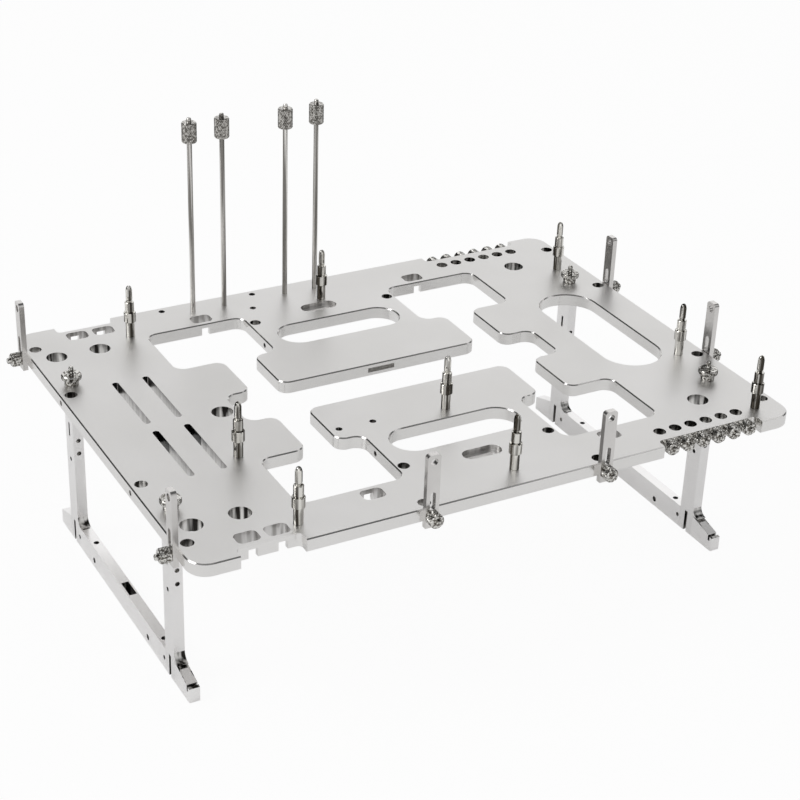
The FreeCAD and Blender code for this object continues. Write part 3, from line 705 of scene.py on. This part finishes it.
def named(start):
    return sorted(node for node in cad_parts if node.startswith(start))


def standing(nodes, level, step=0):
    """Upright places on the nodes' own axes at one level, each turned step degrees further."""
    places = []
    for number, node in enumerate(nodes):
        point = centre(node)
        point.z = level
        places.append((point, (0, 0, math.radians(step * number))))
    return places


print("tree:", SET_IN_PLACE.name)

# %% [markdown]
# ## One diamond
#
# The knurl's diamond is a pyramid that points along +X and sits with its four-sided foot just
# inside the cylinder. It is so small that a foot and four faces are enough.

# %% Diamond
SUNK, OVERLAP = 0.1, 1.02


def diamond(width, height, rise):
    half_width, half_height = width / 2, height / 2
    verts = [(-SUNK, -half_width, 0), (-SUNK, 0, -half_height),
             (-SUNK, half_width, 0), (-SUNK, 0, half_height), (rise, 0, 0)]
    mesh = bpy.data.meshes.new("knurl_diamond")
    mesh.from_pydata([tuple(v * MM for v in vert) for vert in verts], [],
                     [(0, 1, 4), (1, 2, 4), (2, 3, 4), (3, 0, 4), (3, 2, 1, 0)])
    piece = bpy.data.objects.new(mesh.name, mesh)
    scene.collection.objects.link(piece)
    return piece


def knurled(piece, radius, bottom, length, around, rows, rise, finish):
    """Covers a cylinder with rows of diamonds; a little overlap leaves no gap between them."""
    pip = diamond(2 * math.pi * radius / around * OVERLAP, 2 * length / rows * OVERLAP, rise)
    grow(piece, KNURL, Diamond=pip, Radius=radius * MM, Bottom=bottom * MM, Length=length * MM,
         Around=around, Rows=rows, Finish=finish)
    discard(pip)


print("a diamond is ready")

# %% [markdown]
# ## Thumb screws on the side posts, and the spares
#
# The same small thumb screw clamps each side post and is parked six times in the front edge and
# six times in the back edge. It has a knurled barrel with a chamfer at both ends, a smooth neck
# at the collar and a short nub at the outer end. It is made once, standing on its seat, and then
# set in its eighteen places.

# %% Small thumb screws
KNOB_LENGTH, NUB_LENGTH, SHANK_LENGTH = 6.0, 2.0, 8.5
KNOB_RADIUS, NUB_RADIUS, SHANK_RADIUS = 3.85, 1.7, 1.3
KNURL_RISE, KNURL_SINK = 0.28, 0.02


def small_thumb_screw():
    shank, knob, end = -SHANK_LENGTH, KNOB_LENGTH, KNOB_LENGTH + NUB_LENGTH
    head = lathe("small_thumb_screw", [
        (0, shank), (1.1, shank), (SHANK_RADIUS, shank + 0.4), (SHANK_RADIUS, 0.0),
        (3.4, 0.0), (KNOB_RADIUS, 0.45), (KNOB_RADIUS, knob - 0.6), (3.4, knob - 0.15), (3.1, knob),
        (NUB_RADIUS, knob), (NUB_RADIUS, end - 0.35), (1.35, end), (0, end)])
    knurled(head, KNOB_RADIUS - KNURL_SINK, bottom=0.65, length=knob - 1.4, around=22, rows=6,
            rise=KNURL_RISE, finish=SCREW_METAL)
    return grow(head, THREAD, Radius=1.34 * MM, Bottom=(shank + 0.5) * MM,
                Length=(SHANK_LENGTH - 0.9) * MM, Pitch=FINE_PITCH, Finish=SCREW_METAL)


TURNS = {"left": ((-1, 0, 0), (0, -math.pi / 2, 0)), "right": ((1, 0, 0), (0, math.pi / 2, 0)),
         "front": ((0, -1, 0), (math.pi / 2, 0, 0)), "back": ((0, 1, 0), (-math.pi / 2, 0, 0))}


def seat(node, side):
    """Where a lying screw's head meets what it clamps, and the turn that lays it there."""
    outward, angles = TURNS[side]
    low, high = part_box(node)
    axis = 0 if outward[0] else 1
    tip = (high if sum(outward) > 0 else low)[axis]
    point = centre(node)
    point[axis] = tip - outward[axis] * (KNOB_LENGTH + NUB_LENGTH) * MM
    return point, angles


small_screw = small_thumb_screw()
holding = named("side_post_screw_")
held_places = [seat(node, node.split("_")[3]) for node in holding]
set_all("side_post_screws", small_screw, held_places, SCREW_METAL, holding)
spares = named("spare_screw_")
spare_places = [seat(node, node.split("_")[2]) for node in spares]
set_all("spare_screws", small_screw, spare_places, SCREW_METAL, spares)
discard(small_screw)

# %% [markdown]
# ## Thumb screws over the legs
#
# Each leg hangs on a larger thumb screw: a plain collar below, a wide knurled disc above it and a
# threaded tip that stands out of the disc.

# %% Leg thumb screws
COLLAR_RADIUS, DISC_RADIUS, TIP_RADIUS = 4.0, 5.45, 1.3
DISC_FROM, DISC_TO, TIP_TO = 3.4, 6.4, 11.1


def leg_thumb_screw(shank):
    head = lathe("leg_thumb_screw", [
        (0, -shank), (1.1, -shank), (1.42, -shank + 0.5), (1.42, 0.0),
        (3.6, 0.0), (COLLAR_RADIUS, 0.4), (COLLAR_RADIUS, DISC_FROM),
        (5.1, DISC_FROM), (DISC_RADIUS, 3.75), (DISC_RADIUS, 6.0), (5.1, DISC_TO),
        (2.6, DISC_TO), (2.2, 6.1), (TIP_RADIUS, 6.1), (TIP_RADIUS, 10.6), (1.0, TIP_TO),
        (0, TIP_TO)])
    knurled(head, DISC_RADIUS - KNURL_SINK, bottom=3.85, length=2.05, around=38, rows=3,
            rise=KNURL_RISE, finish=SCREW_METAL)
    return grow(head, THREAD, Radius=1.32 * MM, Bottom=6.3 * MM, Length=4.2 * MM,
                Pitch=FINE_PITCH, Finish=SCREW_METAL)


leg_nodes = sorted(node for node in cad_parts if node.endswith("leg_screw"))
leg_screw = leg_thumb_screw((tray_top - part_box(leg_nodes[0])[0][2]) / MM)
set_all("leg_screws", leg_screw, standing(leg_nodes, tray_top), SCREW_METAL, leg_nodes)
discard(leg_screw)

# %% [markdown]
# ## The standoffs
#
# A board is pressed onto nine standoffs. Each has a slim foot, a wider collar with a groove on
# either side, an upper barrel on which the board rests, and a springy split tip that snaps
# through the board's hole. The slot in the tip is cut with a Boolean, once, before the copies are
# made. Each copy is turned a little further than the one before, so the slots point every way.

# %% Standoffs
FOOT_RADIUS, COLLAR_FROM, COLLAR_TO, BOARD_LEVEL = 2.6, 9.5, 15.5, 22.0
SPLIT_HALF, SPLIT_FROM, SPLIT_TO, SPLIT_REACH = 0.4, 24.2, 36.0, 4.0
STUD_STEP = 47


def standoff(root):
    stud = lathe("standoff", [
        (0, -root), (1.2, -root), (1.45, -root + 0.4), (1.45, 0.0),
        (2.4, 0.0), (FOOT_RADIUS, 0.2), (FOOT_RADIUS, 9.0), (2.45, 9.2), (2.45, COLLAR_FROM),
        (3.3, COLLAR_FROM), (3.5, 9.7), (3.5, 15.2), (3.3, COLLAR_TO), (2.3, COLLAR_TO),
        (2.3, 16.1), (2.55, 16.1), (2.7, 16.3), (2.7, 21.7), (2.45, BOARD_LEVEL),
        (1.5, BOARD_LEVEL), (1.5, 22.9), (1.9, 23.5), (1.9, 29.6),
        (1.65, 30.7), (1.2, 31.7), (0.6, 32.2), (0, 32.3)])
    slot_mesh = bpy.data.meshes.new("tip_slot")
    corners = [(x, y, z) for z in (SPLIT_FROM, SPLIT_TO) for y in (-SPLIT_HALF, SPLIT_HALF)
               for x in (-SPLIT_REACH, SPLIT_REACH)]
    sides = [(0, 2, 3, 1), (4, 5, 7, 6), (0, 1, 5, 4), (2, 6, 7, 3), (0, 4, 6, 2), (1, 3, 7, 5)]
    slot_mesh.from_pydata([tuple(v * MM for v in corner) for corner in corners], [], sides)
    slot_piece = bpy.data.objects.new("tip_slot", slot_mesh)
    scene.collection.objects.link(slot_piece)
    carve = stud.modifiers.new("tip_slot", "BOOLEAN")
    carve.operation = "DIFFERENCE"
    carve.object = slot_piece
    ready = stud.evaluated_get(bpy.context.evaluated_depsgraph_get())
    mesh = bpy.data.meshes.new_from_object(ready)
    stud.modifiers.remove(carve)
    stud.data = mesh
    discard(slot_piece)
    return stud


stud_nodes = named("standoff_")
stud = standoff((tray_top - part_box(stud_nodes[0])[0][2]) / MM)
set_all("standoffs", stud, standing(stud_nodes, tray_top, STUD_STEP), STUD_METAL, stud_nodes)
discard(stud)

# %% [markdown]
# ## The card rods and their nuts
#
# Four slim rods stand behind the board and hold the brackets of plug-in cards. They are plain
# steel with a short thread cut at the top, and a knurled nut is screwed onto it so far that only
# the rod's tip shows.

# %% Card rods
ROD_RADIUS, CORE_RADIUS, RIDGE_RADIUS = 1.5, 1.32, 1.33
THREAD_FROM_TOP, RIDGE_LENGTH = 14.5, 13.5

rod_nodes = [node for node in named("card_rod_") if "nut" not in node]
rod_low, rod_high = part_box(rod_nodes[0])
rod_top = (rod_high[2] - rod_low[2]) / MM
thread_foot = rod_top - THREAD_FROM_TOP
rod = lathe("card_rod", [
    (0, 0), (1.2, 0), (ROD_RADIUS, 0.3), (ROD_RADIUS, thread_foot - 0.4),
    (CORE_RADIUS, thread_foot), (CORE_RADIUS, rod_top - 0.5), (1.0, rod_top), (0, rod_top)],
    sides=28)
grow(rod, THREAD, Radius=RIDGE_RADIUS * MM, Bottom=(thread_foot + 0.2) * MM,
     Length=RIDGE_LENGTH * MM, Pitch=FINE_PITCH, Finish=ROD_METAL)
set_all("card_rods", rod, standing(rod_nodes, rod_low[2]), ROD_METAL, rod_nodes)
discard(rod)

# %% Rod nuts
NUT_BORE, NUT_RADIUS, NUT_CHAMFER, NUT_KNURL_INSET = 1.55, 4.2, 0.25, 0.45

nut_nodes = named("card_rod_nut_")
nut_low, nut_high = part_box(nut_nodes[0])
nut_top = (nut_high[2] - nut_low[2]) / MM
nut = lathe("rod_nut", [
    (NUT_BORE, 0), (NUT_RADIUS - NUT_CHAMFER, 0), (NUT_RADIUS, NUT_CHAMFER),
    (NUT_RADIUS, nut_top - NUT_CHAMFER), (NUT_RADIUS - NUT_CHAMFER, nut_top),
    (NUT_BORE, nut_top), (NUT_BORE, 0)])
knurled(nut, NUT_RADIUS - KNURL_SINK, bottom=NUT_KNURL_INSET, length=nut_top - 2 * NUT_KNURL_INSET,
        around=24, rows=12, rise=0.3, finish=NUT_METAL)
set_all("rod_nuts", nut, standing(nut_nodes, nut_low[2]), NUT_METAL, nut_nodes)
discard(nut)

# %% [markdown]
# ## The floor
#
# The bench stands on a plain pale floor. To the camera the floor is nearly all its own white,
# with a small part of the light left in so that the bench keeps a soft shadow under its feet. In
# the metal's mirror it glows only a little, so the walls near it keep their shade.

# %% Floor
FLOOR_REACH = 6.0
FLOOR_PAINT = (0.92, 0.92, 0.92, 1)
WHITE = (1, 1, 1, 1)
WHITE_TO_EYE, WHITE_TO_METAL = 0.94, 0.15


def pale_floor():
    material = bpy.data.materials.new("pale_floor")
    material.use_nodes = True
    tree = material.node_tree
    tree.nodes.clear()
    path = add(tree, "ShaderNodeLightPath")
    seen = calc(tree, "MAXIMUM", path.outputs["Is Camera Ray"], path.outputs["Is Transmission Ray"])
    seen = calc(tree, "MULTIPLY", seen, WHITE_TO_EYE)
    mirrored = calc(tree, "MULTIPLY", path.outputs["Is Glossy Ray"], WHITE_TO_METAL)
    share = calc(tree, "MAXIMUM", seen, mirrored)
    paint = add(tree, "ShaderNodeBsdfDiffuse")
    paint.inputs["Color"].default_value = FLOOR_PAINT
    glow = add(tree, "ShaderNodeEmission")
    glow.inputs["Color"].default_value = WHITE
    mix = add(tree, "ShaderNodeMixShader")
    output = add(tree, "ShaderNodeOutputMaterial")
    tree.links.new(share, mix.inputs["Fac"])
    tree.links.new(paint.outputs[0], mix.inputs[1])
    tree.links.new(glow.outputs[0], mix.inputs[2])
    tree.links.new(mix.outputs[0], output.inputs["Surface"])
    return material


floor_mesh = bpy.data.meshes.new("floor")
floor_mesh.from_pydata([(x * FLOOR_REACH, y * FLOOR_REACH, 0)
                        for x, y in ((-1, -1), (1, -1), (1, 1), (-1, 1))], [], [(0, 1, 2, 3)])
floor_mesh.materials.append(pale_floor())
floor = bpy.data.objects.new("floor", floor_mesh)
scene.collection.objects.link(floor)
print("floor laid")

# %% [markdown]
# ## The room
#
# Polished metal shows the room it stands in. The room is white to the camera. What the metal
# mirrors is a studio that is bright in front and behind, and dark to the left, to the right and
# overhead, where nothing is lit. The dark sides draw the dark lines down every standoff, while
# the flat tray stays an even grey.

# %% Room
WALL_SHADES = [(0.0, 0.9), (0.12, 1.0), (0.18, 0.6), (0.24, 0.04), (0.46, 0.04),
               (0.51, 0.95), (0.66, 1.0), (0.74, 0.1), (0.91, 0.1), (0.97, 0.85)]
CEILING_FROM, CEILING_TO = 0.6, 0.85
CEILING_SHADE = (0.1, 0.1, 0.1, 1)
PLAIN_STRENGTH = 0.6


def studio_room():
    """The walls' shades run once round, from the front by the left, the back and the right."""
    world = bpy.data.worlds.new("studio_room")
    world.use_nodes = True
    tree = world.node_tree
    tree.nodes.clear()
    place = add(tree, "ShaderNodeTexCoord")
    parts = add(tree, "ShaderNodeSeparateXYZ")
    tree.links.new(place.outputs["Generated"], parts.inputs[0])
    bearing = calc(tree, "ARCTAN2", parts.outputs["X"], parts.outputs["Y"])
    turned_share = add(tree, "ShaderNodeMapRange")
    turned_share.inputs["From Min"].default_value = -math.pi
    turned_share.inputs["From Max"].default_value = math.pi
    tree.links.new(bearing, turned_share.inputs["Value"])
    walls = add(tree, "ShaderNodeValToRGB")
    walls.color_ramp.interpolation = "EASE"
    for index, (position, shade) in enumerate(WALL_SHADES):
        elements = walls.color_ramp.elements
        stop = elements[index] if index < 2 else elements.new(position)
        stop.position = position
        stop.color = (shade, shade, shade, 1)
    tree.links.new(turned_share.outputs["Result"], walls.inputs["Fac"])
    height = add(tree, "ShaderNodeMapRange")
    height.inputs["From Min"].default_value = CEILING_FROM
    height.inputs["From Max"].default_value = CEILING_TO
    tree.links.new(parts.outputs["Z"], height.inputs["Value"])
    ceiling = add(tree, "ShaderNodeMix", data_type="RGBA")
    ceiling.inputs["B"].default_value = CEILING_SHADE
    tree.links.new(height.outputs["Result"], ceiling.inputs["Factor"])
    tree.links.new(walls.outputs["Color"], ceiling.inputs["A"])
    path = add(tree, "ShaderNodeLightPath")
    mirrored = add(tree, "ShaderNodeBackground")
    tree.links.new(ceiling.outputs["Result"], mirrored.inputs["Color"])
    plain = add(tree, "ShaderNodeBackground")
    plain.inputs["Color"].default_value = WHITE
    plain.inputs["Strength"].default_value = PLAIN_STRENGTH
    seen = add(tree, "ShaderNodeBackground")
    seen.inputs["Color"].default_value = WHITE
    by_mirror = add(tree, "ShaderNodeMixShader")
    by_eye = add(tree, "ShaderNodeMixShader")
    output = add(tree, "ShaderNodeOutputWorld")
    tree.links.new(path.outputs["Is Glossy Ray"], by_mirror.inputs["Fac"])
    tree.links.new(plain.outputs[0], by_mirror.inputs[1])
    tree.links.new(mirrored.outputs[0], by_mirror.inputs[2])
    eye = calc(tree, "MAXIMUM", path.outputs["Is Camera Ray"], path.outputs["Is Transmission Ray"])
    tree.links.new(eye, by_eye.inputs["Fac"])
    tree.links.new(by_mirror.outputs[0], by_eye.inputs[1])
    tree.links.new(seen.outputs[0], by_eye.inputs[2])
    tree.links.new(by_eye.outputs[0], output.inputs["Surface"])
    return world


scene.world = studio_room()
scene.view_settings.view_transform = "Standard"
print("room:", scene.world.name)

# %% [markdown]
# ## The lamps
#
# Two large soft panels light the bench: a key from the left and above, and a far weaker one from
# the front right. They are wide, so that their mirror images in the metal are broad and gentle.

# %% Lamps
AIM = (0, 0, 0.1)


def soft_panel(name, place, size, power):
    """A square lamp, in metres and watts, that looks at the middle of the bench."""
    lamp = bpy.data.lights.new(name, "AREA")
    lamp.shape = "SQUARE"
    lamp.size = size
    lamp.energy = power
    panel = bpy.data.objects.new(name, lamp)
    panel.location = place
    panel.rotation_euler = (Vector(AIM) - Vector(place)).to_track_quat("-Z", "Y").to_euler()
    scene.collection.objects.link(panel)


soft_panel("key_panel", place=(-1.8, 0.4, 1.6), size=1.2, power=14)
soft_panel("fill_panel", place=(1.5, -0.9, 1.2), size=1.0, power=2)
print("lamps hung")
